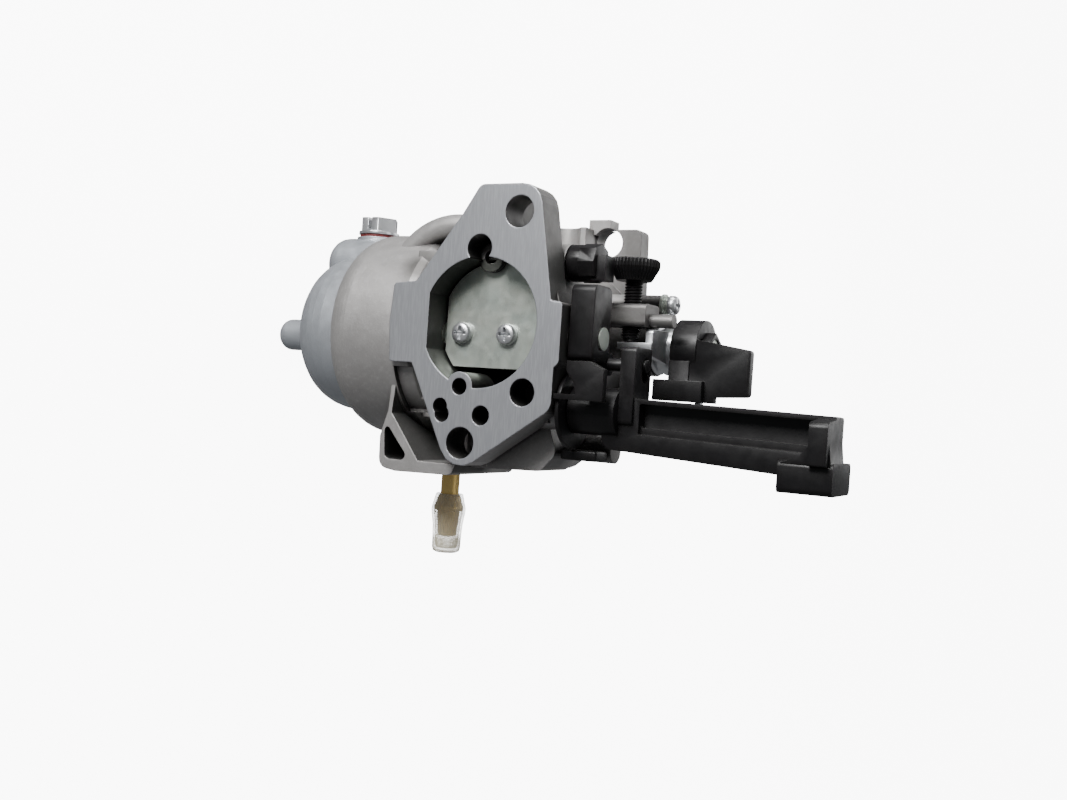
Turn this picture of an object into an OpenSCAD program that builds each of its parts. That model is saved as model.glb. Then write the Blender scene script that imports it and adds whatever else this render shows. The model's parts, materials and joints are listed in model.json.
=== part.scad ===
// Single-barrel float carburetor for a small horizontal-throat engine.
// +Y runs along the throat towards the engine, +Z points up, away from the float bowl,
// and the origin is midway between the two stud holes on the engine face.
// Inside air_frame() the modules work from the throat centre on the air-cleaner face.

/* [Throat and flanges] */
// Distance from the air-cleaner face to the engine face
body_len = 62; // [60:0.5:64]
// Distance between the two stud holes
stud_pitch = 62.2; // [61:0.1:63]
// Diameter of the stud holes
stud_hole_d = 8.4; // [8:0.1:8.6]
// Radius of the air horn
horn_r = 17.3; // [17:0.1:17.5]
// Radius of the throttle bore
throttle_bore_r = 15.5; // [15.3:0.1:15.7]
// Thickness of the air-cleaner flange
air_flange_t = 9.5; // [9.2:0.1:9.6]
// Thickness of the engine flange
engine_flange_t = 6; // [5.5:0.1:6.5]

/* [Float chamber] */
// Radius of the cast chamber skirt
skirt_r = 29.5; // [29.2:0.1:29.6]
// Radius of the pressed float bowl at its rim
bowl_r = 23.6; // [23.4:0.1:23.8]
// Depth of the float bowl below the skirt
bowl_h = 20.1; // [19.8:0.1:20.4]
// Wall thickness of the float bowl
bowl_wall = 1.6; // [1.4:0.1:1.8]
// Radius of the tall round head of the bowl bolt
bowl_bolt_head_r = 4.85; // [4.6:0.05:5]
// Length of the head of the bowl bolt
bowl_bolt_head_h = 16.5; // [15:0.5:17]

/* [Shafts] */
// Diameter of the choke shaft
choke_shaft_d = 6; // [5.8:0.1:6.2]
// Diameter of the throttle shaft
throttle_shaft_d = 7; // [6.8:0.1:7.2]
// Radial running clearance of a shaft in its bore
running = 0.05; // [0.03:0.01:0.08]
// Radius of the choke plate
choke_plate_r = 16.8; // [16.6:0.1:16.9]
// Radius of the throttle plate
throttle_plate_r = 15.2; // [15:0.1:15.25]

/* [Choke control lever] */
// Height of the free end of the control lever above the throat axis
lever_end_z = 94; // [85:1:96]
// Radius of the drive pin's path round the choke shaft
drive_pin_offset = 8; // [7.8:0.1:8.2]
// Radius of the drive pin
drive_pin_r = 1.7; // [1.6:0.05:1.8]
// Turn of the choke shaft from closed to open
choke_travel = 62; // [60:1:75]
// Turn of the control lever for the same travel
lever_travel = 43; // [40:1:43]

/* [Screws] */
// Thread radius of the idle stop screw
idle_screw_r = 2.5; // [2.4:0.05:2.5]
// Radius of the knurled idle knob at its wide end
idle_knob_r = 6.8; // [6.4:0.1:7]

/* [Fuel inlet] */
// Outer radius of the brass inlet tube
inlet_r = 2.65; // [2.5:0.05:2.7]
// Outer radius of the clear cap over the barb
cap_r = 5; // [4.8:0.1:5.2]

/* [Hidden] */
$fn = 64;

cut = 1;                       // how far a cutter runs past the face it opens
seat_gap = 0.05;               // radial gap of a fixed piece in its hole
throat_x = -1.5;               // throat centre from the part's origin
throat_z = -3.5;
stud_tilt = 12.25;             // lean of the line through the studs
stud_mid = [-throat_x, -throat_z];
stud_top = stud_mid + stud_pitch / 2 * [-cos(stud_tilt), sin(stud_tilt)];
stud_low = stud_mid - stud_pitch / 2 * [-cos(stud_tilt), sin(stud_tilt)];
stud_r = stud_hole_d / 2;
engine_y = body_len - engine_flange_t;

bowl_x = 2.6;                  // axis of the float bowl
bowl_y = 29.6;
skirt_top_z = -19;
skirt_straight_z = -43.5;
seam_z = -50.9;
bowl_end_z = seam_z - bowl_h;
chamber_top_z = -24;
chamber_r = skirt_r - 3.3;
bolt_x = 4;                    // axis of the bowl bolt and the main jet
column_r = 6.5;
column_end_z = bowl_end_z + bowl_wall + 0.4;

choke_x = 2.5;                 // axis of the choke shaft
choke_y = 10.6;
choke_r = choke_shaft_d / 2;
plate_front_y = choke_y - 1.6;
plate_t = 1;
throttle_x = 3;                // axis of the throttle shaft
throttle_y = 43;
throttle_r = throttle_shaft_d / 2;
throttle_plate_t = 1.2;
bushing_z = 33.4;              // outer face of the throttle shaft's boss
stop_z = 36.4;                 // near face of the stop arm
drum_z = 40.2;                 // near face of the throttle lever's drum
drum_h = 7.4;

pivot_x = 21;                  // axis of the control lever
pivot_y = 12;
pivot_r = 2.5;
hub_z = 24.6;                  // near face of the choke hub
hub_h = 6.7;
fork_z = 37.5;                 // near face of the fork
fork_t = 4;
drive_angle = 38.7;            // angle of the drive pin with the choke closed

idle_y = 28;                   // axis of the idle stop screw
idle_z = 31.2;
pilot_x = -17.6;               // axis of the pilot screw
pilot_y = 15.8;
pilot_seat_z = 18.5;
top_screw_x = -9.3;
top_screw_y = 40;
inlet_y = 28;                  // axis of the fuel inlet
inlet_z = -22.3;
seat_x = 17;                   // axis of the needle valve
float_pin_x = 24;              // axis of the float hinge
float_pin_z = -33;
float_pin_r = 1;

drain_y = 36;                  // axis of the drain bolt
drain_z = -59.4;
drain_seat_x = -27.2;

// ---------------------------------------------------------------- shared shapes

function unit(v) = v / norm(v);

// Points of an arc of radius r that rounds corner b between its neighbours a and c
function corner_arc(a, b, c, r, steps) =
    let (u = unit(a - b), w = unit(c - b), half = acos(u * w) / 2,
         centre = b + unit(u + w) * r / sin(half),
         from = b + u * r / tan(half) - centre, to = b + w * r / tan(half) - centre,
         start = atan2(from[1], from[0]),
         sweep = (atan2(to[1], to[0]) - start + 540) % 360 - 180)
    [for (i = [0 : steps]) centre + r * [cos(start + sweep * i / steps),
                                         sin(start + sweep * i / steps)]];

function flat(p) = [p[0], p[1]];

// Outline through [x, y, radius] corners, each rounded by its own radius
function rounded(pts, steps = 4) =
    let (n = len(pts))
    [for (i = [0 : n - 1])
        each (pts[i][2] > 0
            ? corner_arc(flat(pts[(i + n - 1) % n]), flat(pts[i]), flat(pts[(i + 1) % n]),
                         pts[i][2], steps)
            : [flat(pts[i])])];

module air_frame() { translate([throat_x, -body_len, throat_z]) children(); }

module rod_x(x0, x1, r, y, z) {
    translate([x0, y, z]) rotate([0, 90, 0]) cylinder(h = x1 - x0, r = r);
}

module rod_y(y0, y1, r, x, z) {
    translate([x, y0, z]) rotate([-90, 0, 0]) cylinder(h = y1 - y0, r = r);
}

module rod_z(z0, z1, r, x, y) {
    translate([x, y, z0]) cylinder(h = z1 - z0, r = r);
}

module block(low, high) { translate(low) cube(high - low); }

// A plate from y0 to y1 with an outline in X and Z
module plate_y(y0, y1, outline) {
    translate([0, y1, 0]) rotate([90, 0, 0]) linear_extrude(y1 - y0) polygon(outline);
}

// A plate from z0 to z1 with an outline in X and Y
module plate_z(z0, z1, outline) {
    translate([0, 0, z0]) linear_extrude(z1 - z0) polygon(outline);
}

// A pan head with a cross recess, its seat at z = 0 and its crown towards +Z
module pan_head(r, h) {
    slot = r * 0.28;
    difference() {
        rotate_extrude()
            polygon([[0, 0], [r, 0], [r, h * 0.55], [r * 0.86, h * 0.86], [r * 0.6, h], [0, h]]);
        for (a = [0, 90])
            rotate([0, 0, a]) translate([-r * 0.62, -slot / 2, h * 0.45])
                cube([r * 1.24, slot, h]);
    }
}

// ---------------------------------------------------------------- outlines

air_outline = rounded([
    [-36.2, -2, 2.5], [-36.2, 15.6, 6], [-6.1, 20.9, 0.8], [-5.8, 24.2, 1], [9.6, 24.2, 1.5],
    [10.8, 22.9, 0.5], [21.4, 22.9, 4], [41.2, -5.4, 6.8], [11.4, -19.9, 0.6],
    [11.4, -27.2, 0.8], [0.4, -28, 0], [-9.9, -27.2, 1], [-10.5, -20.2, 0.6],
    [-28.4, -7, 3]]);

engine_outline = rounded([
    [-33, -4, 3], [-33, 20.1, 1.6], [-12, 20.8, 5], [0, 23, 6], [16, 22, 6],
    [40.8, -0.5, 7.5], [37, -11.5, 7], [12, -20.5, 8], [-12, -20, 8], [-25, -11, 5]]);

// Inner and outer wall of a corner that sweeps from radius r0 at z0 in to r1 at z1
function sweep_in(r0, z0, r1, z1, power, steps) =
    [for (i = [0 : steps]) [r1 + (r0 - r1) * pow(1 - pow(i / steps, power), 1 / power),
                            z0 + (z1 - z0) * i / steps]];

skirt_profile = concat([[0, skirt_top_z], [skirt_r - 8, skirt_top_z]],
    [for (i = [1 : 5]) [skirt_r - 8 + 8 * sin(15 * i), skirt_top_z - 8 + 8 * cos(15 * i)]],
    sweep_in(skirt_r, skirt_straight_z, bowl_r + 0.9, seam_z, 1.9, 6), [[0, seam_z]]);

chamber_profile = concat([[0, chamber_top_z], [chamber_r, chamber_top_z]],
    sweep_in(chamber_r, skirt_straight_z + 1, bowl_r - 2.6, seam_z + 1.6, 1.9, 4),
    [[bowl_r - 2.6, seam_z - cut], [0, seam_z - cut]]);

// Throat from the horn through the venturi to the throttle bore, as [radius, depth]
throat_profile = [[0, -cut], [horn_r, -cut], [horn_r, 16], [15.9, 21], [13.8, 24.5],
                  [12.8, 27.5], [12.6, 30], [13.4, 33], [throttle_bore_r, 37],
                  [throttle_bore_r, body_len + cut], [0, body_len + cut]];

function dome(r, z0, depth, power, steps) =
    [for (i = [0 : steps]) let (a = 90 * i / steps)
        [r * pow(cos(a), 2 / power), z0 - depth * pow(sin(a), 2 / power)]];

// ---------------------------------------------------------------- main body

horn_flat_z = -15.65;          // flat side of the air horn
horn_flat_y = 13;
pocket_depth = 8.6;

module horn_cutter() {
    difference() {
        rotate([-90, 0, 0]) rotate_extrude() polygon(throat_profile);
        block([-horn_r, -cut - 1, -horn_r - 1], [horn_r, horn_flat_y, horn_flat_z]);
        rod_y(-cut - 1, 12, 3.9, 17.1, -4.45);
    }
    rod_y(-cut, pocket_depth, 3.7, -19.4, -1.1);
}

module face_holes() {
    rod_y(-cut, 8.8, 3.6, 17.6, 14.4);
    rod_y(-cut, 12, 2.25, 17.1, -4.45);
    rod_y(-cut, 12, 2.6, 24.3, 2.6);
    rod_y(-cut, 12, 2.2, 22.6, -10);
    rod_y(-cut, 12, 2.2, 24.6, -9.3);
}

// The corner of the casting that carries the fuel inlet, with its two cored pockets
module inlet_corner() {
    difference() {
        plate_y(4.6, 38, rounded([[11.4, -28.6, 1], [25, -29.6, 2], [32, -31.8, 2],
                                  [40.6, -31.6, 3], [41.4, -26, 2], [41, -8, 2],
                                  [37, -6.5, 0.5], [12, -18, 1]]));
        plate_y(4, 21, rounded([[12.6, -27.2, 0.6], [12.6, -17.6, 0.6], [38, -5.5, 0.6],
                                [38, -18.8, 0.6], [25.4, -28.4, 0.6]]));
        plate_y(4, 19, rounded([[28.4, -29.9, 0.8], [37.2, -22.4, 1.2], [38.2, -24.4, 1.4],
                                [38.2, -29.8, 1.6], [31, -30.4, 1]]));
    }
    rod_x(12, 26, 4.6, 15, -19.6);
}

module body_solid() {
    plate_y(0, air_flange_t, air_outline);
    plate_y(engine_y, body_len, engine_outline);
    rod_y(4, 24, 22.3, 0, 0);
    rod_y(20, body_len - 2, 20.5, 0.6, 0.4);
    translate([bowl_x, bowl_y, 0]) rotate_extrude($fn = 96) polygon(skirt_profile);
    block([-20, 9, -26], [24, 48, -10]);
    inlet_corner();
    rod_x(24, 40.5, 6.2, inlet_y, inlet_z);
    // bosses of the choke shaft, the throttle shaft and the control lever
    rod_z(12, 24.3, 6.5, choke_x, choke_y);
    rod_z(12, bushing_z, 7.4, throttle_x, throttle_y);
    rod_z(4, 22.9, 5.6, pivot_x, pivot_y);
    block([12, 7, 4], [25, 14, 19]);
    // boss that backs the detent foot
    rod_z(2, 31, 3.4, 31.4, 24);
    block([14, 12, 2], [33, 26, 14]);
    // floor of the casting under the lower stud
    plate_y(12, 27.5, rounded([[24, -8, 1], [24, 16, 1], [33, 19.4, 3], [38, 15, 3], [38.8, -8, 1]]));
    // arm that carries the idle stop screw and its round post
    plate_z(12, 37, rounded([[-8.2, 23.6, 1.2], [-2.1, 23.6, 1.2], [-2.1, 33, 1], [-8.2, 33, 1]]));
    rod_z(36, 43.6, 1.85, -3.95, 28);
    // boss of the top screw and boss of the pilot screw
    rod_z(12, 35.2, 2.75, top_screw_x, top_screw_y);
    rod_z(4, pilot_seat_z, 5, pilot_x, pilot_y);
    // fluted web and raised tab of the engine flange's upper ear
    difference() {
        block([-32.6, 48.6, -7], [-14, 58, 5.6]);
        rod_x(-40, -10, 5, 46, -0.4);
    }
    block([-35.6, 54, 4], [-31, 60, 11]);
    // web behind the upper stud hole
    block([-34.6, 8, -4], [-18, 19.8, 5.6]);
    shoulder_bead();
}

// Round bead that runs down the float chamber's shoulder behind the air flange
module shoulder_bead() {
    intersection() {
        translate([-8, 16, -18]) rotate([-90, 0, 0]) union() {
            rotate_extrude() translate([19.6, 0]) circle(r = 3.5);
            translate([0, 0, 0.4]) cylinder(h = 3.1, r = 19.6);
        }
        block([-40, 8, -41.5], [-8, 24, -4]);
    }
}

// Cored pocket in front of the float chamber, down to a wall of even thickness
module shoulder_pocket() {
    difference() {
        block([12.6, -cut, -27.2], [24.8, 12, -18]);
        translate([bowl_x, bowl_y, -40]) cylinder(h = 40, r = chamber_r + 1.5, $fn = 96);
    }
}

module shaft_bores() {
    rod_z(-24, 40, choke_r + running, choke_x, choke_y);
    rod_z(-19, 40, throttle_r + running, throttle_x, throttle_y);
    rod_z(11, 30, pivot_r + seat_gap, pivot_x, pivot_y);
    rod_x(-9, 0, idle_screw_r + running, idle_y, idle_z);
    rod_z(pilot_seat_z - 11.5, pilot_seat_z + 1, 1.6 + running, pilot_x, pilot_y);
    rod_z(26, 40, 1.5 + seat_gap, top_screw_x, top_screw_y);
}

module chamber_cutter() {
    difference() {
        translate([bowl_x, bowl_y, 0]) rotate_extrude($fn = 96) polygon(chamber_profile);
        rod_z(column_end_z, chamber_top_z + 1, column_r, bolt_x, bowl_y);
        rod_z(-34, chamber_top_z + 1, 3.6, -12, 37);
        for (y = [20.6, 33.4])
            block([22, y, -35.2], [26.2, y + 3, chamber_top_z + 1]);
    }
}

module fuel_bores() {
    rod_z(bowl_end_z, -52, 3 + seat_gap, bolt_x, bowl_y);
    rod_z(-53, -16, 2.5 + seat_gap, bolt_x, bowl_y);
    rod_z(-17, -5, 1.85 + seat_gap, bolt_x, bowl_y);
    rod_z(-35, -20, 1.9 + seat_gap, -12, 37);
    rod_x(29, 42, 2.9 + seat_gap, inlet_y, inlet_z);
    rod_x(seat_x, 30, 1.2, inlet_y, inlet_z);
    rod_z(chamber_top_z - 1, -21, 3.4 + seat_gap, seat_x, inlet_y);
    translate([float_pin_x, 19, float_pin_z])
        rotate([-90, 0, 0]) cylinder(h = 19, r = float_pin_r + seat_gap);
}

module main_body() {
    color([0.66, 0.65, 0.64]) air_frame() {
        difference() {
            body_solid();
            horn_cutter();
            face_holes();
            chamber_cutter();
            difference() {
                shoulder_pocket();
                plate_y(-cut - 1, air_flange_t, air_outline);
            }
            shaft_bores();
            fuel_bores();
            for (s = [stud_top, stud_low]) rod_y(-cut, body_len + cut, stud_r, s[0], s[1]);
            // core plug pocket and the groove of the bowl gasket
            rod_x(-40, -18.4, 5 + seat_gap, 40, -3);
            translate([bowl_x, bowl_y, seam_z - cut]) difference() {
                cylinder(h = cut + 1, r = bowl_r - 0.3);
                cylinder(h = cut + 1, r = bowl_r - 1.7);
            }
        }
        // column of the main jet, open at the bottom
        difference() {
            rod_z(column_end_z, chamber_top_z + 0.5, column_r, bolt_x, bowl_y);
            fuel_bores();
        }
    }
}

// ---------------------------------------------------------------- float chamber pieces

module float_bowl() {
    inner_end = bowl_end_z + bowl_wall;
    color([0.60, 0.63, 0.66]) air_frame() difference() {
        union() {
            translate([bowl_x, bowl_y, 0]) rotate_extrude($fn = 96)
                polygon(concat([[0, seam_z]], dome(bowl_r, seam_z, bowl_h, 3.3, 12)));
            drain_boss();
        }
        translate([bowl_x, bowl_y, 0]) rotate_extrude($fn = 96)
            polygon(concat([[0, seam_z + cut], [bowl_r - bowl_wall, seam_z + cut]],
                           dome(bowl_r - bowl_wall, seam_z, seam_z - inner_end, 3.3, 12)));
        rod_z(bowl_end_z - cut, inner_end + cut, 3 + seat_gap, bolt_x, bowl_y);
        rod_x(drain_seat_x - cut, -8, 3 + seat_gap, drain_y, drain_z);
    }
}

// Bulge of the bowl under the drain bolt, with a flat seat
module drain_boss() {
    intersection() {
        union() {
            translate([-18.6, 33, -72]) rotate_extrude() polygon(concat([[0, 5], [0, 21], [8.2, 21]],
                [for (i = [0 : 5]) [3.2 + 5 * cos(15 * i), 5 - 5 * sin(15 * i)]], [[0, 0]]));
            rod_x(drain_seat_x, -14, 6.6, drain_y, drain_z);
        }
        block([drain_seat_x, 0, -90], [0, 60, seam_z]);
    }
}

module bowl_gasket() {
    color([0.12, 0.12, 0.12]) air_frame() translate([bowl_x, bowl_y, seam_z])
        difference() {
            cylinder(h = 0.95, r = bowl_r - 0.35);
            translate([0, 0, -cut]) cylinder(h = 3, r = bowl_r - 1.6);
        }
}

module bowl_bolt() {
    head_z = bowl_end_z - 0.8;
    color([0.60, 0.63, 0.67]) air_frame() translate([bolt_x, bowl_y, 0]) {
        translate([0, 0, head_z - bowl_bolt_head_h]) rotate_extrude()
            polygon(concat([[0, bowl_bolt_head_h], [bowl_bolt_head_r, bowl_bolt_head_h]],
                [for (i = [0 : 5]) let (a = 15 * i)
                    [bowl_bolt_head_r - 3.2 + 3.2 * cos(a), 3.2 - 3.2 * sin(a)]],
                [[0, 0]]));
        translate([0, 0, head_z]) cylinder(h = -54 - head_z, r = 3);
    }
}

module bowl_bolt_washer() {
    color([0.55, 0.16, 0.12]) air_frame() translate([bolt_x, bowl_y, bowl_end_z - 0.8])
        difference() {
            cylinder(h = 0.8, r = 4.4);
            translate([0, 0, -cut]) cylinder(h = 3, r = 3 + seat_gap);
        }
}

module drain_bolt() {
    color([0.72, 0.74, 0.74]) air_frame() translate([drain_seat_x, drain_y, drain_z])
        rotate([0, -90, 0]) {
            difference() {
                union() {
                    translate([0, 0, 1]) cylinder(h = 0.9, r = 6.2);
                    translate([0, 0, 1.9]) cylinder(h = 4.2, r = 6, $fn = 6);
                }
                translate([-0.6, -8, 2.6]) cube([1.2, 16, 5]);
            }
            translate([0, 0, -9]) cylinder(h = 10.5, r = 3);
        }
}

module drain_washer() {
    color([0.60, 0.12, 0.12]) air_frame() translate([drain_seat_x, drain_y, drain_z])
        rotate([0, -90, 0]) difference() {
            cylinder(h = 1, r = 5.8);
            translate([0, 0, -cut]) cylinder(h = 3, r = 3 + seat_gap);
        }
}

module inlet_nipple() {
    color([0.72, 0.56, 0.25]) air_frame() translate([30.5, inlet_y, inlet_z])
        rotate([0, 90, 0]) difference() {
            rotate_extrude() polygon([[0, 0], [2.9, 0], [2.9, 10.2], [inlet_r, 10.2],
                [inlet_r, 20], [3.5, 23.4], [3.5, 24.4], [2.2, 30], [0, 30]]);
            translate([0, 0, -cut]) cylinder(h = 40, r = 1.2);
        }
}

module inlet_cap() {
    color([0.85, 0.86, 0.82, 0.5]) air_frame() translate([48, inlet_y, inlet_z])
        rotate([0, 90, 0]) difference() {
            rotate_extrude() polygon([[0, 0], [4.1, 0], [cap_r, 3.6], [cap_r, 6.8], [4.3, 11],
                                      [3.9, 15.4], [2.6, 17], [0, 17]]);
            translate([0, 0, -cut]) rotate_extrude()
                polygon([[0, 0], [inlet_r + 0.1, 0], [inlet_r + 0.1, 3.2], [3.75, 6.4],
                         [3.75, 8.4], [2.5, 14.2], [2.5, 15.6], [0, 15.6]]);
        }
}

module needle_seat() {
    color([0.72, 0.56, 0.25]) air_frame() translate([seat_x, inlet_y, -31])
        difference() {
            cylinder(h = 9.8, r = 3.4);
            translate([0, 0, -cut]) cylinder(h = 8, r = 1.5 + running);
            cylinder(h = 12, r = 0.8);
        }
}

module float_needle() {
    color([0.75, 0.6, 0.3]) air_frame() translate([seat_x, inlet_y, 0]) {
        translate([0, 0, -35.2]) cylinder(h = 9.2, r = 1.5);
        translate([0, 0, -26]) cylinder(h = 1.7, r1 = 1.5, r2 = 0.5);
    }
}

module float() {
    color([0.16, 0.16, 0.17]) air_frame() difference() {
        union() {
            difference() {
                translate([bowl_x, bowl_y, -50.5]) cylinder(h = 12, r = 18.6);
                translate([bowl_x, bowl_y, -52]) cylinder(h = 15, r = 11.3);
                block([20.6, 0, -60], [40, 60, -30]);
            }
            // hinge barrel, its arm down to the float and the tang under the needle
            rod_y(24, 33, 2.2, float_pin_x, float_pin_z);
            block([20.4, 24, -41], [23.8, 33, -33]);
            block([14.9, 25, -38], [21, 31, -35.5]);
            block([16, 24, -41], [21, 33, -38]);
        }
        rod_y(20, 40, float_pin_r + running, float_pin_x, float_pin_z);
        rod_z(-60, -20, 11.3, bowl_x, bowl_y);
    }
}

module float_hinge_pin() {
    color([0.75, 0.75, 0.76]) air_frame() rod_y(20.2, 36.8, float_pin_r, float_pin_x, float_pin_z);
}

module main_jet() {
    color([0.72, 0.56, 0.25]) air_frame() translate([bolt_x, bowl_y, -50]) difference() {
        cylinder(h = 6, r = 2.5);
        translate([0, 0, -cut]) cylinder(h = 10, r = 0.6);
        translate([-3, -0.4, -0.2]) cube([6, 0.8, 1.2]);
    }
}

module emulsion_tube() {
    color([0.72, 0.56, 0.25]) air_frame() translate([bolt_x, bowl_y, -43.8]) difference() {
        union() {
            cylinder(h = 26.4, r = 2.5);
            cylinder(h = 32.4, r = 1.85);
        }
        translate([0, 0, -cut]) cylinder(h = 40, r = 1.1);
        for (z = [4, 9, 14, 19])
            translate([-5, 0, z]) rotate([0, 90, 0]) cylinder(h = 10, r = 0.5);
    }
}

module pilot_jet() {
    color([0.72, 0.56, 0.25]) air_frame() translate([-12, 37, -34.6]) difference() {
        cylinder(h = 13, r = 1.9);
        translate([0, 0, -cut]) cylinder(h = 16, r = 0.5);
        translate([-3, -0.3, -0.2]) cube([6, 0.6, 1.2]);
    }
}

module vent_tube() {
    color([0.45, 0.44, 0.43]) air_frame() difference() {
        // the tube's end is trimmed to the pocket and the horn that it stands in
        intersection() {
            rod_y(6.6, pocket_depth, 3.8, -17.7, -1.3);
            union() {
                rod_y(6, 9, 3.65, -19.4, -1.1);
                rod_y(6, 9, horn_r - seat_gap, 0, 0);
            }
        }
        rod_y(5, 10, 1.9, -17.9, -1.3);
    }
}

module core_plug() {
    color([0.6, 0.6, 0.62]) air_frame() rod_x(-20.6, -18.6, 5, 40, -3);
}

// ---------------------------------------------------------------- choke

choke_screw_z = [-9.8, 4.1];
plate_flat_y = plate_front_y + plate_t;

module choke_shaft() {
    color([0.62, 0.64, 0.63]) air_frame() difference() {
        rod_z(-22, hub_z + hub_h + 0.3, choke_r, choke_x, choke_y);
        block([-10, plate_flat_y - 6, -16.6], [12, plate_flat_y, 16.2]);
        for (z = choke_screw_z) rod_y(0, 20, 1.5 + seat_gap, choke_x, z);
    }
}

module choke_plate() {
    color([0.66, 0.70, 0.66]) air_frame() difference() {
        intersection() {
            rod_y(plate_front_y, plate_flat_y, choke_plate_r, 0, 0);
            block([-20, 0, horn_flat_z + 0.5], [11.6, 20, 15.9]);
        }
        for (z = choke_screw_z) rod_y(0, 20, 1.5 + seat_gap, choke_x, z);
    }
}

module plate_screw(head_r, head_h, length, shank_r) {
    rotate([-90, 0, 0]) {
        mirror([0, 0, 1]) pan_head(head_r, head_h);
        cylinder(h = length, r = shank_r);
    }
}

module choke_plate_screws() {
    color([0.82, 0.83, 0.85]) air_frame() for (z = choke_screw_z)
        translate([choke_x, plate_front_y, z]) plate_screw(2.95, 2.2, 4.4, 1.5);
}

// Black hub on the choke shaft, with the drive pin that the lever's fork turns
module choke_hub() {
    pin = [choke_x + drive_pin_offset * cos(drive_angle),
           choke_y + drive_pin_offset * sin(drive_angle)];
    color([0.14, 0.13, 0.14]) air_frame() {
        difference() {
            plate_z(hub_z, hub_z + hub_h,
                rounded([[-11, 4, 1.8], [8.4, 4, 1.5], [8.4, 14.6, 2], [-11, 14.6, 2.4]]));
            rod_z(hub_z - cut, 60, choke_r + seat_gap, choke_x, choke_y);
        }
        plate_z(hub_z + hub_h - 4, hub_z + hub_h,
            rounded([[pin[0] - 3, 12, 1], [pin[0] + 3, 12, 1], [pin[0] + 3, pin[1] + 2.6, 2],
                     [pin[0] - 3, pin[1] + 2.6, 2]]));
        rod_z(hub_z + hub_h - 1, fork_z + fork_t + 0.6, drive_pin_r, pin[0], pin[1]);
    }
}

// ---------------------------------------------------------------- control lever

// Drive pin centre in the lever's own axes when the choke has turned by the share s
function pin_in_lever(s) =
    let (a = drive_angle - choke_travel * s, b = lever_travel * s,
         p = [choke_x + drive_pin_offset * cos(a) - pivot_x,
              choke_y + drive_pin_offset * sin(a) - pivot_y])
    [p[0] * cos(b) + p[1] * sin(b), p[1] * cos(b) - p[0] * sin(b)];

slot_r = drive_pin_r + 0.35;
slot_steps = 9;

// The slot is the space that the drive pin sweeps through the fork as both shafts turn
module cam_slot() {
    for (i = [0 : slot_steps]) {
        p = pin_in_lever(i / slot_steps);
        translate([p[0], p[1], fork_z - cut]) cylinder(h = fork_t + 2 * cut, r = slot_r, $fn = 24);
    }
}

module control_lever() {
    bar_y0 = 9.8;
    bar_y1 = 16.4;
    block_y0 = 3.8;
    color([0.13, 0.13, 0.14]) air_frame() difference() {
        union() {
            rod_z(24.6, 37.6, 6.2, pivot_x, pivot_y);
            plate_y(bar_y0, bar_y1, rounded([[17, 33, 1], [18.3, lever_end_z - 1.2, 1],
                [33.8, lever_end_z - 1.2, 1], [30.4, 33, 3]]));
            // fork that takes the drive pin
            plate_z(fork_z, fork_z + fork_t, rounded([[4.2, 8.7, 1.2], [4.2, 19.2, 0.6],
                [17, 19.2, 1], [24, 16, 1], [24, 8.7, 1.2]]));
            // end wall, neck and finger block
            plate_z(lever_end_z - 5.6, lever_end_z - 1.2, rounded([[18.3, bar_y1, 1],
                [19.9, 1.6, 1.5], [30, 1.6, 0.5], [30, bar_y1, 0.5]]));
            plate_y(block_y0, bar_y1, [[24.6, lever_end_z - 5.6], [24.6, lever_end_z - 1.2],
                [29.8, lever_end_z - 0.6], [29.8, lever_end_z - 12.4], [28.2, lever_end_z - 8.2]]);
            plate_z(lever_end_z - 13, lever_end_z, rounded([[29.2, block_y0, 1.4], [29.2, 21, 1.4],
                [36.8, 21, 1.4], [36.8, block_y0, 1.4]]));
        }
        // channel along the bar, with a stepped lower edge
        plate_y(bar_y0 - cut, bar_y0 + 4, rounded([[18.4, 43, 1], [19.5, lever_end_z - 6.2, 1],
            [25.6, lever_end_z - 6.2, 1], [24.4, 43, 1]]));
        plate_y(bar_y0 - cut, bar_y0 + 1.6, rounded([[18.4, 43, 0.5], [19.5, lever_end_z - 6.2, 0.5],
            [27.4, lever_end_z - 6.2, 0.5], [26.2, 43, 0.5]]));
        rod_z(24, 37, pivot_r + running, pivot_x, pivot_y);
        translate([pivot_x, pivot_y, 0]) cam_slot();
    }
}

module lever_pivot_pin() {
    color([0.7, 0.71, 0.72]) air_frame() rod_z(11.2, 36.6, pivot_r, pivot_x, pivot_y);
}

module lever_disc() {
    color([0.10, 0.10, 0.10]) air_frame() difference() {
        union() {
            rod_z(23.2, 24.2, 10.3, pivot_x, pivot_y);
            // guard wall in front of the pivot
            plate_y(0.4, 2.6, [[8.8, 26.4], [8.8, 33], [10.6, 36.8], [18.6, 36.8], [18.6, 23.2],
                               [17.2, 23.2], [17.2, 29.4], [14.2, 28.6], [11.4, 26.4]]);
        }
        rod_z(20, 30, pivot_r + seat_gap, pivot_x, pivot_y);
    }
}

module detent_foot() {
    color([0.10, 0.10, 0.10]) air_frame()
        block([31.5, 13, 20], [34.3, 20.4, 30.4]);
}

// ---------------------------------------------------------------- throttle

throttle_screw_z = [-6.5, 7.5];

module throttle_shaft() {
    color([0.62, 0.63, 0.64]) air_frame() difference() {
        rod_z(-18.6, drum_z + drum_h + 2.2, throttle_r, throttle_x, throttle_y);
        block([-14, throttle_y - throttle_plate_t / 2, -16], [20, throttle_y + throttle_plate_t / 2, 16]);
        for (z = throttle_screw_z) rod_y(30, 60, 1.5 + seat_gap, throttle_x, z);
    }
}

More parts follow.
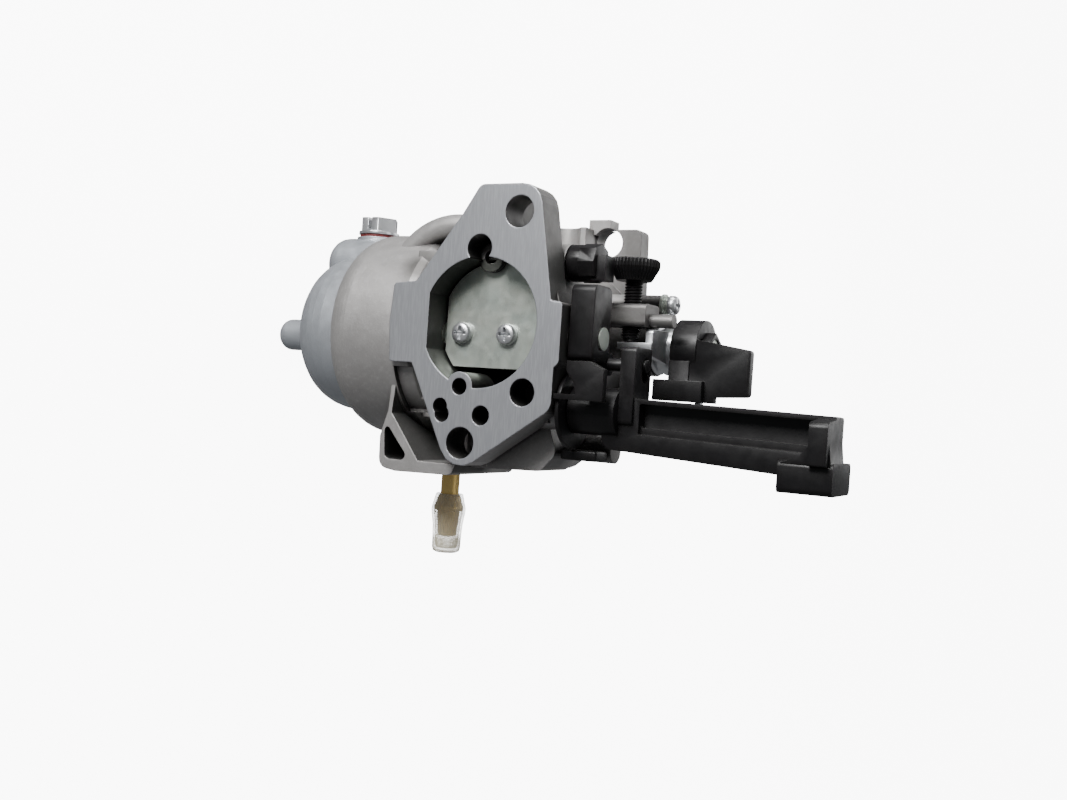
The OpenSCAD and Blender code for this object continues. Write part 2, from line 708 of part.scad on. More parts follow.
module throttle_plate() {
    color([0.72, 0.62, 0.36]) air_frame() difference() {
        rod_y(throttle_y - throttle_plate_t / 2, throttle_y + throttle_plate_t / 2,
              throttle_plate_r, 0, 0);
        for (z = throttle_screw_z) rod_y(30, 60, 1.5 + seat_gap, throttle_x, z);
    }
}

module throttle_plate_screws() {
    color([0.78, 0.79, 0.8]) air_frame() for (z = throttle_screw_z)
        translate([throttle_x, throttle_y - throttle_r, z]) plate_screw(2.6, 1.6, 6.6, 1.5);
}

module throttle_bushing() {
    color([0.78, 0.78, 0.76]) air_frame() translate([throttle_x, throttle_y, bushing_z]) difference() {
        rotate_extrude() polygon([[0, 0], [6.9, 0], [6.9, 1.2], [6, 1.6], [6, 2.7], [0, 2.7]]);
        translate([0, 0, -cut]) cylinder(h = 6, r = throttle_r + running);
    }
}

module throttle_stop_arm() {
    color([0.76, 0.76, 0.74]) air_frame() difference() {
        union() {
            rod_z(stop_z, stop_z + 3.2, 6.9, throttle_x, throttle_y);
            plate_z(stop_z, stop_z + 2, rounded([[-1.6, 26.2, 1], [5.4, 26.2, 1], [8, 44, 1], [-2, 44, 1]]));
            block([2.1, 25.6, 28.4], [3.9, 30.6, stop_z + 2]);
        }
        rod_z(30, 42, throttle_r + seat_gap, throttle_x, throttle_y);
    }
}

module throttle_lever() {
    color([0.12, 0.12, 0.13]) air_frame() difference() {
        union() {
            rod_z(drum_z, drum_z + drum_h, 8.7, throttle_x, throttle_y);
            // paddle along the shaft
            plate_y(35, 38, rounded([[-0.4, 44.6, 1], [2.4, 62.8, 1], [14.8, 62.8, 1],
                [15.4, 52.6, 0.6], [11.3, 52.2, 0.6], [11.3, 44.6, 1]]));
            // lower bar and the web that joins it to the drum
            block([11.3, 32.6, 36.6], [17, 37.4, 50.6]);
            block([6, 34.4, drum_z], [14, 38, 46]);
            block([11.3, 35, 50], [17, 37.4, 53.4]);
        }
        rod_z(30, 60, throttle_r + seat_gap, throttle_x, throttle_y);
    }
}

module lever_nut() {
    color([0.13, 0.13, 0.14]) air_frame() difference() {
        translate([throttle_x, throttle_y, drum_z + drum_h]) cylinder(h = 2.6, r = 5.4, $fn = 6);
        rod_z(40, 60, throttle_r + seat_gap, throttle_x, throttle_y);
    }
}

module link_pin() {
    color([0.8, 0.8, 0.82]) air_frame() rod_x(17, 19.4, 1.1, 36, 49);
}

// ---------------------------------------------------------------- screws

module idle_stop_screw() {
    color([0.10, 0.10, 0.11]) air_frame() translate([0, idle_y, idle_z]) {
        translate([-20.4, 0, 0]) rotate([0, 90, 0]) rotate_extrude()
            polygon([[0, 0], [idle_knob_r - 0.6, 0], [idle_knob_r, 0.8], [idle_knob_r, 2.2],
                     [4.9, 6], [0, 6]]);
        translate([-14.6, 0, 0]) rotate([0, 90, 0]) cylinder(h = 15.6, r = idle_screw_r);
        translate([1, 0, 0]) rotate([0, 90, 0]) cylinder(h = 0.8, r1 = idle_screw_r, r2 = 1.7);
    }
}

module pilot_screw() {
    color([0.72, 0.56, 0.25]) air_frame() translate([pilot_x, pilot_y, 0]) {
        translate([0, 0, pilot_seat_z - 8.6]) cylinder(h = 14, r = 1.6);
        translate([0, 0, pilot_seat_z - 10.6]) cylinder(h = 2, r1 = 0.4, r2 = 1.6);
    }
}

module pilot_cap() {
    color([0.11, 0.11, 0.12]) air_frame() translate([pilot_x, pilot_y, pilot_seat_z + 0.4])
        difference() {
            union() {
                cylinder(h = 3.4, r = 4.9);
                translate([0, 0, 3.3]) cylinder(h = 4.7, r = 5.2, $fn = 8);
                translate([-2, -2.8, 6.5]) cube([6.6, 5.6, 4]);
            }
            translate([0, 0, -cut]) cylinder(h = cut + 5.1, r = 1.6 + seat_gap);
        }
}

module top_screw() {
    color([0.82, 0.83, 0.85]) air_frame() translate([top_screw_x, top_screw_y, 35.2]) {
        translate([0, 0, 2]) pan_head(2.7, 2.5);
        translate([0, 0, -8]) cylinder(h = 10.2, r = 1.5);
    }
}

module top_washer() {
    color([0.7, 0.71, 0.72]) air_frame() translate([top_screw_x, top_screw_y, 35.2])
        difference() {
            union() {
                cylinder(h = 0.8, r = 3.1);
                cylinder(h = 2, r = 2.4);
            }
            translate([0, 0, -cut]) cylinder(h = 5, r = 1.5 + seat_gap);
        }
}

main_body();
float_bowl();
bowl_gasket();
bowl_bolt();
bowl_bolt_washer();
drain_bolt();
drain_washer();
inlet_nipple();
inlet_cap();
needle_seat();
float_needle();
float();
float_hinge_pin();
main_jet();
emulsion_tube();
pilot_jet();
vent_tube();
choke_shaft();
choke_plate();
choke_plate_screws();
choke_hub();
control_lever();
lever_pivot_pin();
lever_disc();
detent_foot();
throttle_shaft();
throttle_plate();
throttle_plate_screws();
throttle_bushing();
throttle_stop_arm();
throttle_lever();
lever_nut();
link_pin();
idle_stop_screw();
pilot_screw();
pilot_cap();
top_screw();
top_washer();
core_plug();
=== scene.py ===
# Small-engine carburetor: materials, detailed pieces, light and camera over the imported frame.
import bpy, bmesh, json, math
from mathutils import Matrix, Vector


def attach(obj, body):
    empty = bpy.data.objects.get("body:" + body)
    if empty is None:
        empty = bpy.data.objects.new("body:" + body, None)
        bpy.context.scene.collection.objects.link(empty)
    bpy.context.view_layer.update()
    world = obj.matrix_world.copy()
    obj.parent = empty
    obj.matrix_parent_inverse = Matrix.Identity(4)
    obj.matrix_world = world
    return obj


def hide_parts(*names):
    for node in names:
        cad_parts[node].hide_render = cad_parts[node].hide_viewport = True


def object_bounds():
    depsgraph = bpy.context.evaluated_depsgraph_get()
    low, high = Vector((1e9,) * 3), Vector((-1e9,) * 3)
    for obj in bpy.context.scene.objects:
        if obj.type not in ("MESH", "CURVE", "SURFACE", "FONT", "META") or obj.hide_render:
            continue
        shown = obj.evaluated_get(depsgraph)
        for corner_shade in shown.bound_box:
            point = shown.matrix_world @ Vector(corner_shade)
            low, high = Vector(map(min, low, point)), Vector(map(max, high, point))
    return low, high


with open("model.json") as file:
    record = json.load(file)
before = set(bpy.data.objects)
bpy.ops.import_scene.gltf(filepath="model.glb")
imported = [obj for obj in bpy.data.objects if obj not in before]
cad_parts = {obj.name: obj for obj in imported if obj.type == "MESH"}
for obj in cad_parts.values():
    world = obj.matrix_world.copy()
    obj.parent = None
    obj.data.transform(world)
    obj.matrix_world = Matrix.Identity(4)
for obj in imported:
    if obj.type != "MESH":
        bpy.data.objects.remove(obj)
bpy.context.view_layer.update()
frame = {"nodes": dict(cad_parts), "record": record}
NODES = frame["nodes"]

MM = 0.001
# The throat centre on the air-cleaner face, in millimetres from the part's origin
THROAT = Vector((-1.5, -62.0, -3.5))
HORN_RADIUS = 17.3
# The milled planes of the two flanges lie at Y = -62 and Y = 0; a face this near to one is milled
FRONT_MILLED_Y = -61.93
BACK_MILLED_Y = -0.07

# ------------------------------------------------------------------ camera

VIEW_ANGLE = math.radians(28)      # how far the view looks down from the throat's axis
VIEW_ROLL = math.radians(4)
VIEW_DISTANCE = 313.3              # from the throat centre, along the view
VIEW_RIGHT, VIEW_UP = 14.45, -20.36
LENS = 40.49
SENSOR_WIDTH = 36


def make_camera():
    ahead = Vector((0, math.cos(VIEW_ANGLE), -math.sin(VIEW_ANGLE)))
    side0 = Vector((0, math.sin(VIEW_ANGLE), math.cos(VIEW_ANGLE)))
    up0 = Vector((-1, 0, 0))
    c, s = math.cos(VIEW_ROLL), math.sin(VIEW_ROLL)
    side, up = side0 * c + up0 * s, up0 * c - side0 * s
    place = (THROAT - ahead * VIEW_DISTANCE + side * VIEW_RIGHT + up * VIEW_UP) * MM
    cam = bpy.data.objects.new("camera", bpy.data.cameras.new("camera"))
    bpy.context.scene.collection.objects.link(cam)
    cam.data.lens = LENS
    cam.data.sensor_width = SENSOR_WIDTH
    cam.data.clip_start = 0.02
    cam.data.clip_end = 100
    cam.matrix_world = Matrix((
        (side.x, up.x, -ahead.x, place.x),
        (side.y, up.y, -ahead.y, place.y),
        (side.z, up.z, -ahead.z, place.z),
        (0, 0, 0, 1)))
    bpy.context.scene.camera = cam


# ------------------------------------------------------------------ materials

class Paint:
    """A Principled material with a few procedural layers."""

    def __init__(self, name, color, rough, metallic=0.0, bevel=0.0, ior=1.5):
        self.mat = bpy.data.materials.new(name)
        self.mat.use_nodes = True
        self.tree = self.mat.node_tree
        self.shader = self.tree.nodes["Principled BSDF"]
        self.color = self.value_rgb(color)
        self.rough = self.value(rough)
        self.shader.inputs["Metallic"].default_value = metallic
        self.shader.inputs["IOR"].default_value = ior
        self.coords = self.node("ShaderNodeTexCoord").outputs["Object"]
        self.normal = None
        if bevel:
            edge = self.node("ShaderNodeBevel", samples=6)
            edge.inputs["Radius"].default_value = bevel * MM
            self.normal = edge.outputs[0]

    def node(self, kind, **values):
        n = self.tree.nodes.new(kind)
        for k, v in values.items():
            setattr(n, k, v)
        return n

    def link(self, a, b):
        self.tree.links.new(a, b)

    def value(self, v):
        n = self.node("ShaderNodeValue")
        n.outputs[0].default_value = v
        return n.outputs[0]

    def value_rgb(self, c):
        n = self.node("ShaderNodeRGB")
        n.outputs[0].default_value = (*c[:3], 1)
        return n.outputs[0]

    def noise(self, per_mm, detail=3, roughness=0.55, stretch=(1, 1, 1), distortion=0.0):
        m = self.node("ShaderNodeMapping")
        m.inputs["Scale"].default_value = tuple(per_mm / MM * s for s in stretch)
        self.link(self.coords, m.inputs["Vector"])
        n = self.node("ShaderNodeTexNoise")
        n.inputs["Scale"].default_value = 1
        n.inputs["Detail"].default_value = detail
        n.inputs["Roughness"].default_value = roughness
        n.inputs["Distortion"].default_value = distortion
        self.link(m.outputs[0], n.inputs["Vector"])
        return n.outputs["Fac"]

    def ramp(self, source, low, high, out_low=0.0, out_high=1.0):
        n = self.node("ShaderNodeMapRange")
        self.link(source, n.inputs["Value"])
        for name, v in (("From Min", low), ("From Max", high), ("To Min", out_low), ("To Max", out_high)):
            n.inputs[name].default_value = v
        return n.outputs[0]

    def math(self, op, a, b):
        n = self.node("ShaderNodeMath", operation=op)
        for socket, v in zip(n.inputs, (a, b)):
            if isinstance(v, (int, float)):
                socket.default_value = v
            else:
                self.link(v, socket)
        return n.outputs[0]

    def blend(self, mask, color):
        """Lays a colour over the present one where the mask is 1."""
        n = self.node("ShaderNodeMix", data_type="RGBA")
        self.link(mask, n.inputs["Factor"])
        self.link(self.color, n.inputs[6])
        n.inputs[7].default_value = (*color, 1)
        self.color = n.outputs[2]

    def blend_rough(self, mask, value):
        n = self.node("ShaderNodeMix", data_type="FLOAT")
        self.link(mask, n.inputs["Factor"])
        self.link(self.rough, n.inputs[2])
        n.inputs[3].default_value = value
        self.rough = n.outputs[0]

    def bump(self, height, strength, distance):
        n = self.node("ShaderNodeBump")
        n.inputs["Strength"].default_value = strength
        n.inputs["Distance"].default_value = distance * MM
        self.link(height, n.inputs["Height"])
        if self.normal is not None:
            self.link(self.normal, n.inputs["Normal"])
        self.normal = n.outputs[0]

    def cavity_shade(self, reach, color, low, high, amount=1.0):
        """Painted shade: the colour is darkened where ambient occlusion finds the surface shut in, deep in
        holes and corners.
        """
        n = self.node("ShaderNodeAmbientOcclusion", samples=8)
        n.inputs["Distance"].default_value = reach * MM
        self.blend(self.ramp(n.outputs["AO"], low, high, amount, 0.0), color)

    def axis(self, name):
        n = self.node("ShaderNodeSeparateXYZ")
        self.link(self.coords, n.inputs[0])
        return n.outputs[name]

    def axis_distance(self, point):
        """How far the surface is from a line along Y through a point given in millimetres."""
        n = self.node("ShaderNodeVectorMath", operation="SUBTRACT")
        self.link(self.coords, n.inputs[0])
        n.inputs[1].default_value = tuple(point * MM)
        flat = self.node("ShaderNodeVectorMath", operation="MULTIPLY")
        self.link(n.outputs[0], flat.inputs[0])
        flat.inputs[1].default_value = (1, 0, 1)
        size = self.node("ShaderNodeVectorMath", operation="LENGTH")
        self.link(flat.outputs[0], size.inputs[0])
        return size.outputs["Value"]

    def done(self):
        self.link(self.color, self.shader.inputs["Base Color"])
        self.link(self.rough, self.shader.inputs["Roughness"])
        if self.normal is not None:
            self.link(self.normal, self.shader.inputs["Normal"])
        return self.mat


def cast_metal():
    p = Paint("cast_metal", (0.37, 0.36, 0.353), 0.44, 0.65, bevel=0.45)
    p.blend(p.ramp(p.noise(0.055, 4, 0.6), 0.35, 0.72, 0, 0.55), (0.285, 0.274, 0.266))
    p.blend(p.ramp(p.noise(0.9, 3, 0.6), 0.52, 0.75, 0, 0.35), (0.50, 0.49, 0.485))
    p.blend_rough(p.ramp(p.noise(0.25, 3), 0.3, 0.7, 0, 1), 0.56)
    # faces cut by the mill: flat, a little bluish, with fine tool lines
    y = p.axis("Y")
    front = p.math("LESS_THAN", y, FRONT_MILLED_Y * MM)
    back = p.math("GREATER_THAN", y, BACK_MILLED_Y * MM)
    milled = p.math("MAXIMUM", front, back)
    lines = p.noise(1.0, 2, 0.5, stretch=(0.22, 0.02, 3.4))
    broad = p.noise(0.03, 3, 0.5)
    rough_cast = p.math("SUBTRACT", 1.0, milled)
    p.blend(milled, (0.33, 0.337, 0.357))
    p.blend(p.math("MULTIPLY", milled, p.ramp(broad, 0.35, 0.7, 0, 0.4)), (0.27, 0.275, 0.29))
    p.blend(p.math("MULTIPLY", milled, p.ramp(lines, 0.45, 0.65, 0, 0.35)), (0.47, 0.48, 0.50))
    p.blend_rough(milled, 0.40)
    # painted shade: the horn's rough-cast bore walls, within the horn radius, are painted near black
    horn_shade = p.math("LESS_THAN", p.axis_distance(THROAT), (HORN_RADIUS + 0.4) * MM)
    p.blend(p.math("MULTIPLY", horn_shade, rough_cast), (0.060, 0.064, 0.056))
    # painted shade: the rough-cast arms on the lever side and the engine ear behind them are painted
    # darker
    z = p.axis("Z")
    arm_shade = p.ramp(z, (THROAT.z + 21.0) * MM, (THROAT.z + 26.5) * MM, 0.0, 0.72)
    ear_shade = p.math("MULTIPLY", p.ramp(z, (THROAT.z + 9.0) * MM, (THROAT.z + 16.0) * MM, 0.0, 0.72),
                 p.ramp(y, (THROAT.y + 40.0) * MM, (THROAT.y + 48.0) * MM))
    p.blend(p.math("MULTIPLY", p.math("MAXIMUM", arm_shade, ear_shade), rough_cast), (0.075, 0.073, 0.07))
    # painted shade: the air flange's sides that face the levers, with normals towards +Z, are painted dark
    side = p.node("ShaderNodeSeparateXYZ")
    p.link(p.coords.node.outputs["Normal"], side.inputs[0])
    side_shade = p.math("MULTIPLY", p.ramp(side.outputs["Z"], 0.5, 0.9, 0.0, 0.85),
                  p.ramp(y, (THROAT.y + 20.0) * MM, (THROAT.y + 26.0) * MM, 1.0, 0.0))
    p.blend(p.math("MULTIPLY", side_shade, rough_cast), (0.045, 0.044, 0.042))
    # painted shade: the corner where the shoulder's bead runs in behind the flange is painted dark
    near = p.node("ShaderNodeVectorMath", operation="DISTANCE")
    p.link(p.coords, near.inputs[0])
    near.inputs[1].default_value = tuple((THROAT + Vector((-14.8, 6.8, -24.2))) * MM)
    corner_shade = p.ramp(near.outputs["Value"], 2.2 * MM, 6.5 * MM, 0.85, 0.0)
    p.blend(p.math("MULTIPLY", corner_shade, rough_cast), (0.10, 0.096, 0.09))
    # painted shade in holes, corners and recesses, from ambient occlusion
    p.cavity_shade(11.0, (0.012, 0.011, 0.010), 0.25, 0.78, 0.96)
    p.bump(p.math("MULTIPLY", p.noise(1.6, 4, 0.6), rough_cast), 0.28, 0.12)
    p.bump(p.math("MULTIPLY", lines, milled), 0.14, 0.03)
    p.bump(p.math("MULTIPLY", p.noise(0.16, 2), rough_cast), 0.22, 0.5)
    return p.done()


def bowl_metal():
    p = Paint("bowl_metal", (0.44, 0.462, 0.49), 0.38, 0.7, bevel=0.5)
    p.blend(p.ramp(p.noise(0.07, 4, 0.6), 0.35, 0.7, 0, 0.5), (0.345, 0.362, 0.388))
    p.blend_rough(p.ramp(p.noise(0.3, 3), 0.3, 0.7), 0.54)
    p.bump(p.noise(1.8, 4, 0.6), 0.2, 0.09)
    p.bump(p.noise(0.12, 2), 0.2, 0.5)
    return p.done()


def plate_zinc():
    p = Paint("plate_zinc", (0.42, 0.468, 0.425), 0.36, 0.8, bevel=0.15)
    p.blend(p.ramp(p.noise(0.10, 4, 0.6, distortion=0.6), 0.35, 0.7), (0.50, 0.525, 0.47))
    p.blend(p.ramp(p.noise(0.35, 3, 0.6), 0.55, 0.8, 0, 0.5), (0.40, 0.45, 0.44))
    p.blend_rough(p.ramp(p.noise(0.5, 3), 0.35, 0.7), 0.5)
    p.bump(p.noise(2.5, 3), 0.12, 0.04)
    return p.done()


def bright_zinc():
    p = Paint("bright_zinc", (0.60, 0.61, 0.62), 0.28, 0.88)
    p.blend(p.ramp(p.noise(0.25, 3, 0.6), 0.45, 0.75, 0, 0.5), (0.42, 0.43, 0.45))
    p.blend_rough(p.ramp(p.noise(0.3, 3), 0.35, 0.75), 0.36)
    p.bump(p.noise(0.3, 2), 0.02, 0.02)
    return p.done()


def brass():
    p = Paint("brass", (0.74, 0.53, 0.19), 0.27, 0.82)
    p.blend(p.ramp(p.noise(0.3, 4, 0.6), 0.4, 0.75, 0, 0.5), (0.60, 0.41, 0.13))
    p.blend_rough(p.ramp(p.noise(0.5, 3), 0.3, 0.7), 0.36)
    p.bump(p.noise(0.5, 2, stretch=(3, 0.2, 0.2)), 0.05, 0.03)
    return p.done()


def black_plastic():
    p = Paint("black_plastic", (0.0045, 0.004, 0.0045), 0.37, 0.0)
    p.shader.inputs["Specular IOR Level"].default_value = 0.25
    p.blend(p.ramp(p.noise(0.15, 4, 0.6), 0.4, 0.7, 0, 0.7), (0.0075, 0.0068, 0.007))
    p.blend_rough(p.ramp(p.noise(0.35, 4, 0.6), 0.35, 0.7), 0.5)
    p.bump(p.noise(2.6, 3), 0.14, 0.05)
    p.bump(p.noise(0.18, 2), 0.18, 0.3)
    return p.done()


def black_rubber():
    p = Paint("black_rubber", (0.006, 0.006, 0.006), 0.62, 0.0, bevel=0.2)
    p.blend(p.ramp(p.noise(0.5, 4), 0.4, 0.7, 0, 0.6), (0.012, 0.012, 0.012))
    p.blend_rough(p.ramp(p.noise(0.8, 3), 0.3, 0.7), 0.75)
    p.bump(p.noise(3.0, 3), 0.15, 0.05)
    return p.done()


def red_fibre():
    p = Paint("red_fibre", (0.10, 0.011, 0.013), 0.66, 0.0, bevel=0.1)
    p.blend(p.ramp(p.noise(1.4, 4), 0.4, 0.7), (0.15, 0.02, 0.018))
    p.blend_rough(p.ramp(p.noise(1.0, 3), 0.3, 0.7), 0.8)
    p.bump(p.noise(4.0, 3), 0.25, 0.06)
    return p.done()


def clear_cap():
    p = Paint("clear_cap", (0.92, 0.86, 0.68), 0.22, 0.0, ior=1.3)
    p.blend(p.ramp(p.noise(0.3, 3), 0.4, 0.7, 0, 0.5), (0.86, 0.79, 0.58))
    p.blend_rough(p.ramp(p.noise(0.8, 3), 0.3, 0.7), 0.34)
    p.bump(p.noise(1.5, 3), 0.1, 0.06)
    # thicker where the wall is seen edge on, and at the closed end
    facing = p.node("ShaderNodeLayerWeight")
    facing.inputs["Blend"].default_value = 0.35
    edge = p.math("MULTIPLY", facing.outputs["Facing"], 0.55)
    end = p.ramp(p.axis("X"), (THROAT.x + 59.5) * MM, (THROAT.x + 61.5) * MM, 0.24, 0.55)
    p.link(p.math("MINIMUM", p.math("ADD", edge, end), 0.92), p.shader.inputs["Alpha"])
    return p.done()


def floor_paint():
    p = Paint("floor_paint", (0.86, 0.86, 0.86), 0.7)
    p.blend(p.ramp(p.noise(0.004, 2), 0.3, 0.7, 0, 0.3), (0.84, 0.84, 0.84))
    p.shader.inputs["Emission Color"].default_value = (1, 1, 1, 1)
    p.shader.inputs["Emission Strength"].default_value = 9.0
    return p.done()


make_camera()

MATS = {
    "cast_aluminium": cast_metal(), "bowl_metal": bowl_metal(), "plate_zinc": plate_zinc(),
    "bright_zinc": bright_zinc(), "brass": brass(), "black_plastic": black_plastic(),
    "black_rubber": black_rubber(), "red_fibre": red_fibre(), "clear_cap": clear_cap()}

SLOTS = {sub["node"]: sub["material_slot"] for sub in frame["record"]["subparts"]}
for node, slot in SLOTS.items():
    o = NODES[node]
    for s in o.material_slots:
        s.link = "OBJECT"
        s.material = MATS[slot]


# ------------------------------------------------------------------ detailed pieces

def at(x, y, z):
    """A point given from the throat's centre in millimetres, as the part's own metres."""
    return (Vector((x, y, z)) + THROAT) * MM


def add_piece(name, mesh, body, slot, smooth=True):
    o = bpy.data.objects.new(name, mesh)
    bpy.context.scene.collection.objects.link(o)
    mesh.materials.clear()
    mesh.materials.append(MATS[slot])
    if smooth:
        mesh.shade_smooth()
    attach(o, body)
    return o


def bake_modifiers(o):
    graph = bpy.context.evaluated_depsgraph_get()
    graph.update()
    fresh = bpy.data.meshes.new_from_object(o.evaluated_get(graph))
    old = o.data
    o.modifiers.clear()
    o.data = fresh
    bpy.data.meshes.remove(old)


def flat_copy(node):
    """The node's own mesh with its coplanar triangles joined into whole faces."""
    mesh = NODES[node].data.copy()
    bm = bmesh.new()
    bm.from_mesh(mesh)
    bmesh.ops.remove_doubles(bm, verts=bm.verts, dist=1e-6)
    bmesh.ops.dissolve_limit(bm, angle_limit=math.radians(0.6), verts=bm.verts, edges=bm.edges)
    bm.to_mesh(mesh)
    bm.free()
    return mesh


EDGE_SEGMENTS = 3
EDGE_ANGLE = math.radians(28)      # sharper edges than this are rounded
SMOOTH_ANGLE = math.radians(34)    # flatter edges than this are shaded smooth


def edged(node, body, slot, width):
    """The node's own form with its sharp edges rounded as a mould or a tumbler leaves them."""
    o = bpy.data.objects.new(node + "_form", flat_copy(node))
    bpy.context.scene.collection.objects.link(o)
    b = o.modifiers.new("edge", "BEVEL")
    b.width = width * MM
    b.segments = EDGE_SEGMENTS
    b.limit_method = "ANGLE"
    b.angle_limit = EDGE_ANGLE
    b.use_clamp_overlap = True
    b.harden_normals = False
    bake_modifiers(o)
    o.data.materials.clear()
    o.data.materials.append(MATS[slot])
    o.data.shade_smooth()
    o.data.set_sharp_from_angle(angle=SMOOTH_ANGLE)
    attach(o, body)
    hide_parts(node)
    return o


def ring_mesh(bm, rings):
    """Quads between rings of points; the first and last ring are capped."""
    made = [[bm.verts.new(p) for p in ring] for ring in rings]
    n = len(made[0])
    for a, b in zip(made, made[1:]):
        for i in range(n):
            bm.faces.new((a[i], a[(i + 1) % n], b[(i + 1) % n], b[i]))
    bm.faces.new(list(reversed(made[0])))
    bm.faces.new(made[-1])


def lathe_x(bm, centre, profile, steps, radius_at=lambda r, h, a: r):
    """Rings round the X axis through centre, from [radius, x] pairs in millimetres."""
    rings = []
    for r, h in profile:
        ring = []
        for i in range(steps):
            a = 2 * math.pi * i / steps
            rr = radius_at(r, h, a)
            ring.append(at(centre[0] + h, centre[1] + rr * math.cos(a), centre[2] + rr * math.sin(a)))
        rings.append(ring)
    ring_mesh(bm, rings)


def finish_mesh(name, bm):
    bmesh.ops.recalc_face_normals(bm, faces=bm.faces)
    mesh = bpy.data.meshes.new(name)
    bm.to_mesh(mesh)
    bm.free()
    return mesh


# idle stop screw: knurled knob over a threaded shank
IDLE = (0.0, 28.0, 31.2)
KNOB_TEETH = 44
KNURL_DEPTH = 0.28
THREAD_PITCH = 0.8
THREAD_RADIUS = 2.5
THREAD_DEPTH = 0.42
THREAD_TOP = -14.6
THREAD_LENGTH = 15.6


def idle_screw():
    bm = bmesh.new()

    def knurl(r, h, a):
        depth = KNURL_DEPTH if r > 5 and -20.2 < h < -14.8 else 0.0
        return r - depth * abs(math.sin(a * KNOB_TEETH / 2))

    lathe_x(bm, IDLE, [(0.6, -20.0), (4.6, -20.0), (5.4, -20.4), (6.2, -20.35), (6.7, -19.9), (6.8, -19.2),
                       (6.75, -18.2), (6.3, -17.2), (5.7, -16.2), (5.1, -15.0), (4.7, -14.5),
                       (3.2, -14.4), (0.6, -14.4)], KNOB_TEETH * 6, knurl)
    rings, per_turn, steps = [], 10, 40
    count = int(THREAD_LENGTH / THREAD_PITCH * per_turn)
    for k in range(count + 1):
        h = THREAD_TOP + THREAD_LENGTH * k / count
        ring = []
        for i in range(steps):
            a = 2 * math.pi * i / steps
            phase = (h / THREAD_PITCH - a / (2 * math.pi)) % 1.0
            r = THREAD_RADIUS - THREAD_DEPTH * (abs(phase - 0.5) * 2)
            ring.append(at(h, IDLE[1] + r * math.cos(a), IDLE[2] + r * math.sin(a)))
        rings.append(ring)
    ring_mesh(bm, rings)
    lathe_x(bm, IDLE, [(2.0, 0.9), (2.0, 1.2), (1.7, 1.8), (0.4, 1.8)], 32)
    o = add_piece("idle_screw_detail", finish_mesh("idle_screw_detail", bm),
                  "idle_screw", "black_plastic", smooth=False)
    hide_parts("idle_stop_screw")


# brass inlet with its barb, and the clear cap pushed over it
INLET = (0.0, 28.0, -22.3)
LATHE_STEPS = 56


def inlet_pieces():
    bm = bmesh.new()
    lathe_x(bm, INLET, [(0.5, 30.6), (2.65, 30.6), (2.65, 48.2), (2.9, 48.4), (3.05, 48.7),
                        (4.0, 51.4), (4.15, 51.7), (4.15, 52.5), (4.0, 52.8), (3.25, 53.0), (3.2, 54.5),
                        (2.75, 59.6), (2.5, 60.2), (1.7, 60.4), (1.7, 45.0), (0.5, 45.0)], LATHE_STEPS)
    nipple = add_piece("inlet_nipple_detail", finish_mesh("inlet_nipple_detail", bm), "body", "brass")
    nipple.data.set_sharp_from_angle(angle=math.radians(32))
    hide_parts("inlet_nipple")
    bm = bmesh.new()
    # one closed skin: the cavity's end, the inner wall, the rim, the outer wall and the end
    lathe_x(bm, INLET, [(0.6, 63.8), (2.8, 63.7), (3.3, 63.0), (3.4, 60.6), (3.9, 55.0), (4.3, 52.8),
                        (4.25, 51.8), (3.2, 48.4), (2.95, 48.05), (3.7, 48.0), (3.95, 48.2), (4.5, 50.4),
                        (4.9, 52.0), (4.95, 52.8), (4.8, 54.0), (4.35, 57.0), (4.15, 60.5), (4.1, 63.6),
                        (3.8, 64.6), (3.0, 65.0), (0.6, 65.0)], LATHE_STEPS)
    cap = add_piece("inlet_cap_detail", finish_mesh("inlet_cap_detail", bm), "body", "clear_cap")
    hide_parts("inlet_cap")


PLATE_TRIM = 0.982


def butterfly():
    """The throttle plate with a rounded rim, a hair smaller so that it swings clear of the venturi."""
    o = edged("throttle_plate", "throttle", SLOTS["throttle_plate"], 0.15)
    middle = THROAT * MM
    for v in o.data.vertices:
        v.co.x = middle.x + (v.co.x - middle.x) * PLATE_TRIM
        v.co.z = middle.z + (v.co.z - middle.z) * PLATE_TRIM


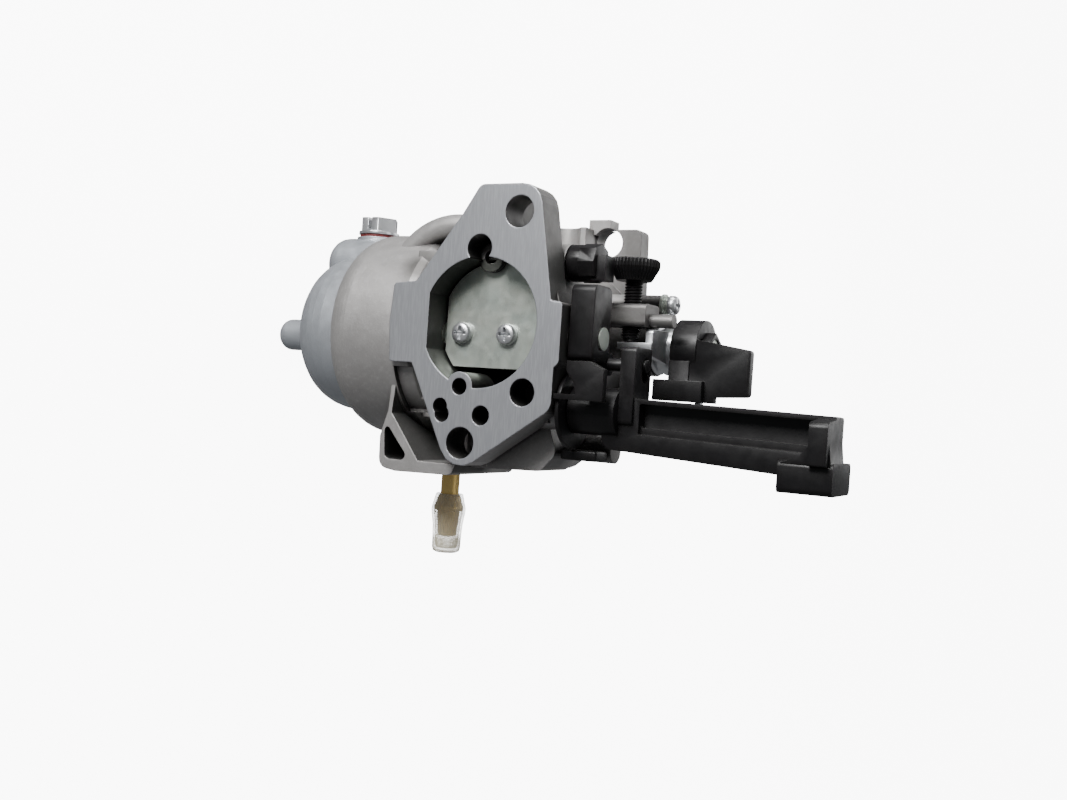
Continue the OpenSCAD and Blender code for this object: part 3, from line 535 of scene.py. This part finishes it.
idle_screw()
inlet_pieces()
for node, body, slot, width in (
        ("control_lever", "control", "black_plastic", 0.55),
        ("choke_hub", "choke", "black_plastic", 0.6),
        ("pilot_cap", "mixture_screw", "black_plastic", 0.35),
        ("throttle_lever", "throttle", "black_plastic", 0.5),
        ("lever_disc", "body", "black_plastic", 0.3),
        ("detent_foot", "body", "black_plastic", 0.6),
        ("choke_plate_screws", "choke", "bright_zinc", 0.12),
        ("top_screw", "body", "bright_zinc", 0.12),
        ("drain_bolt", "body", "bright_zinc", 0.3),
        ("throttle_stop_arm", "throttle", "bright_zinc", 0.25),
        ("throttle_bushing", "body", "bright_zinc", 0.2),
        ("lever_nut", "throttle", "black_plastic", 0.3)):
    edged(node, body, slot, width)
butterfly()


# ------------------------------------------------------------------ floor and light

FLOOR_GAP = 0.4
FLOOR_SIZE = 30.0


def make_stage():
    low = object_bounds()[0]
    z = low[2] - FLOOR_GAP * MM
    size = FLOOR_SIZE
    me = bpy.data.meshes.new("floor")
    me.from_pydata([(-size, -size, z), (size, -size, z), (size, size, z), (-size, size, z)], [],
                   [(0, 1, 2, 3)])
    floor = bpy.data.objects.new("floor", me)
    bpy.context.scene.collection.objects.link(floor)
    me.materials.append(floor_paint())
    # the floor reads white but doesn't fill the object's undersides with light
    floor.visible_diffuse = False
    floor.visible_glossy = False


def make_light():
    world = bpy.data.worlds.new("studio")
    bpy.context.scene.world = world
    world.use_nodes = True
    sky = world.node_tree.nodes["Background"]
    sky.inputs["Color"].default_value = (0.95, 0.97, 1.0, 1)
    sky.inputs["Strength"].default_value = 0.22
    lamps = (("key", (-0.34, -0.42, -0.04), 0.26, 7.6), ("top", (-0.60, -0.05, 0.05), 0.28, 2.6),
             ("right", (-0.10, -0.04, 0.60), 0.32, 0.6), ("back", (-0.22, 0.52, 0.26), 0.45, 1.6))
    aim = Vector((0, -0.03, 0.0))
    for name, place, size, power in lamps:
        data = bpy.data.lights.new(name, "AREA")
        data.size = size
        data.energy = power
        lamp = bpy.data.objects.new(name, data)
        bpy.context.scene.collection.objects.link(lamp)
        lamp.location = place
        lamp.rotation_euler = (aim - Vector(place)).to_track_quat("-Z", "Y").to_euler()


make_stage()
make_light()
